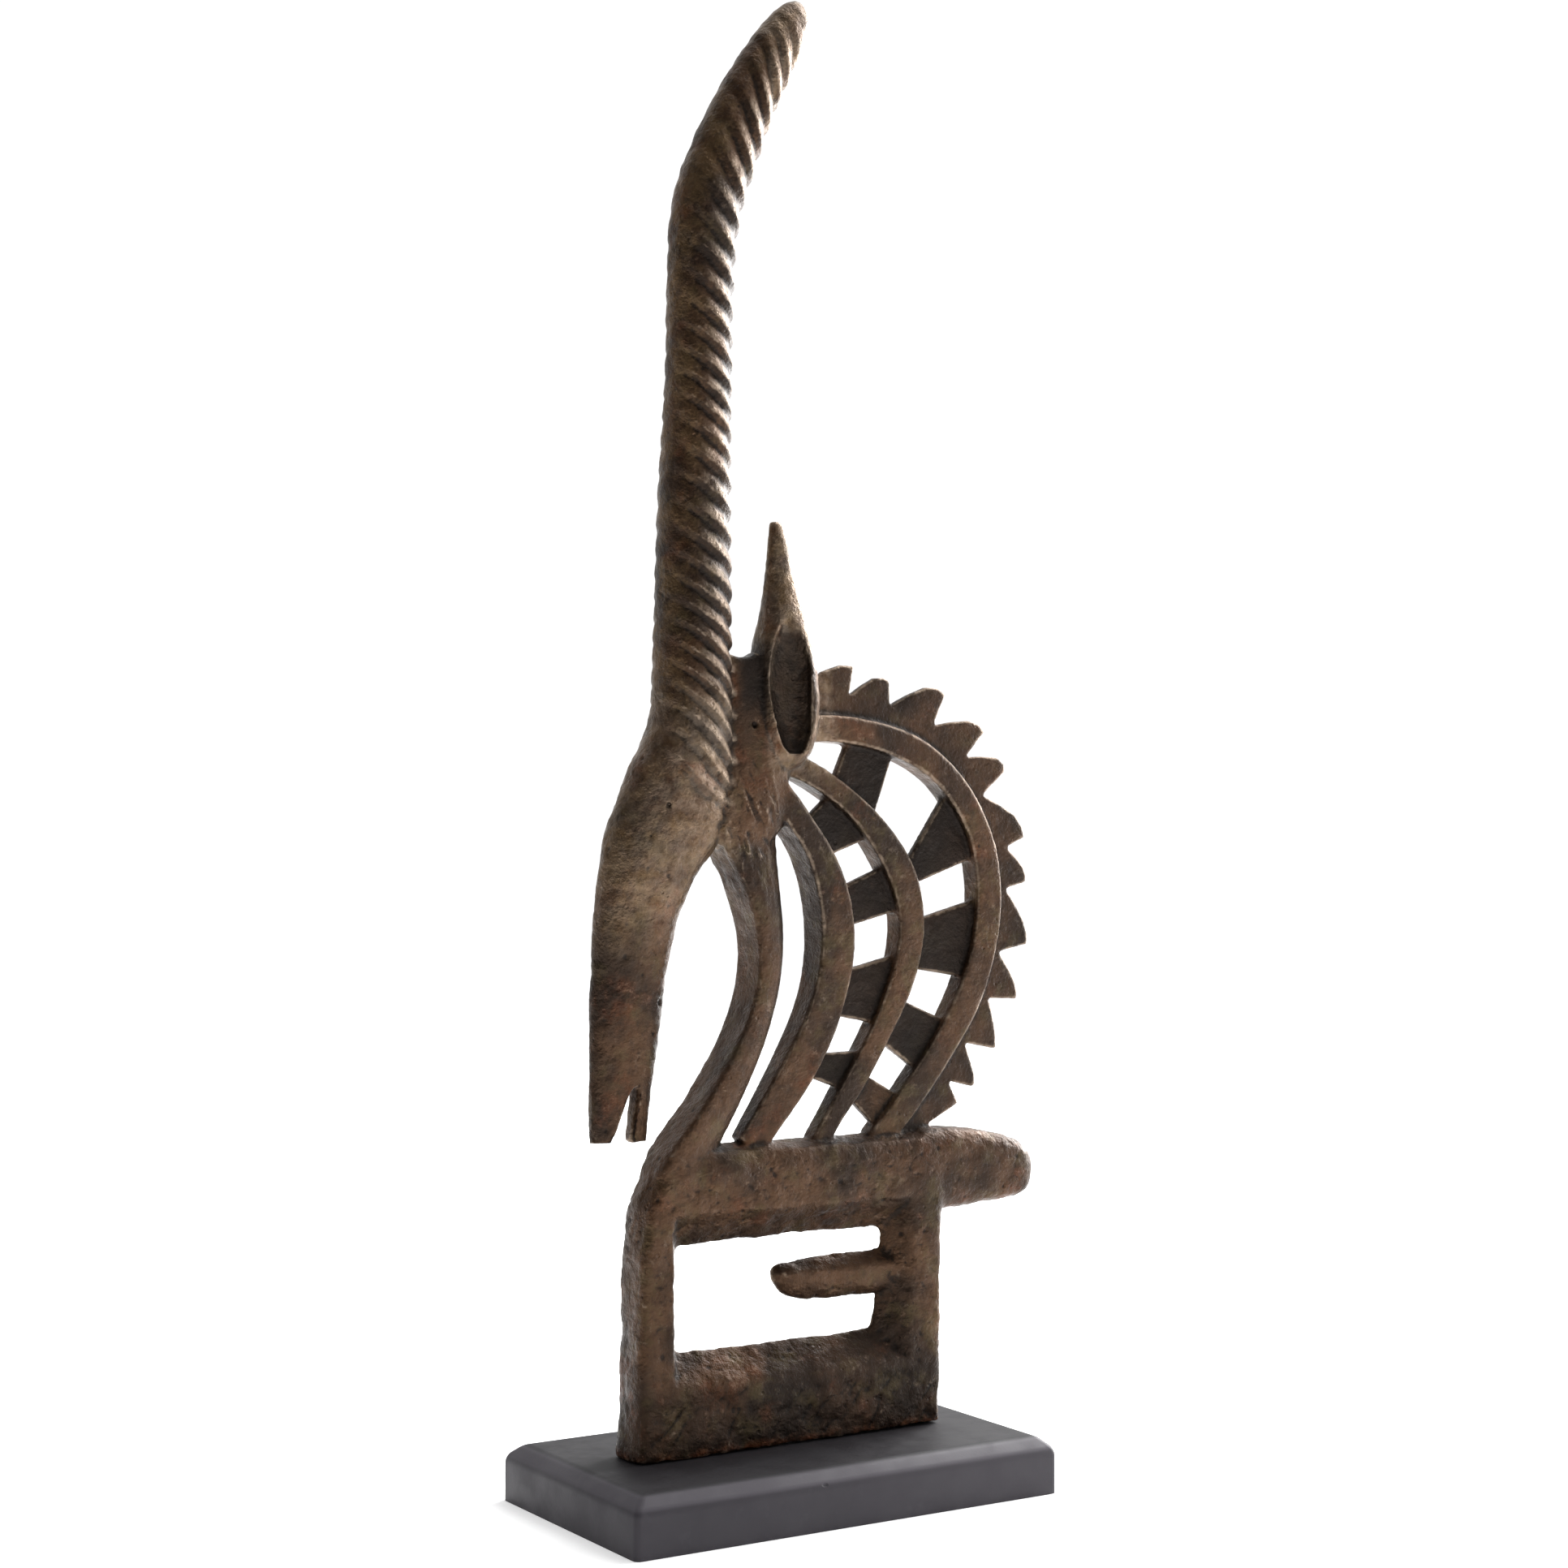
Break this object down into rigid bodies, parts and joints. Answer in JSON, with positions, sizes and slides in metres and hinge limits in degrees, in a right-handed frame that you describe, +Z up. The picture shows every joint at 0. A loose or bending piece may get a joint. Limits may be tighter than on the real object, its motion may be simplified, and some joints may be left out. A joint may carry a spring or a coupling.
{
  "type": "antelope sculpture",
  "caption": "Open-work antelope sculpture with a tall ridged horn, long muzzle and saw-toothed mane, standing on a low bevelled plinth.",
  "frame": {"origin": "centre of the plinth's underside", "axes": "+Z up; the animal faces -X; Y is across the casting's thickness"},
  "size_m": [0.2728, 0.136, 0.7475],
  "materials": {
    "antelope": "brown patina, worn pale on the edges",
    "plinth": "satin charcoal paint"
  },
  "bodies": {
    "root": {"antelope": "antelope", "plinth": "plinth"}
  },
  "joints": []
}
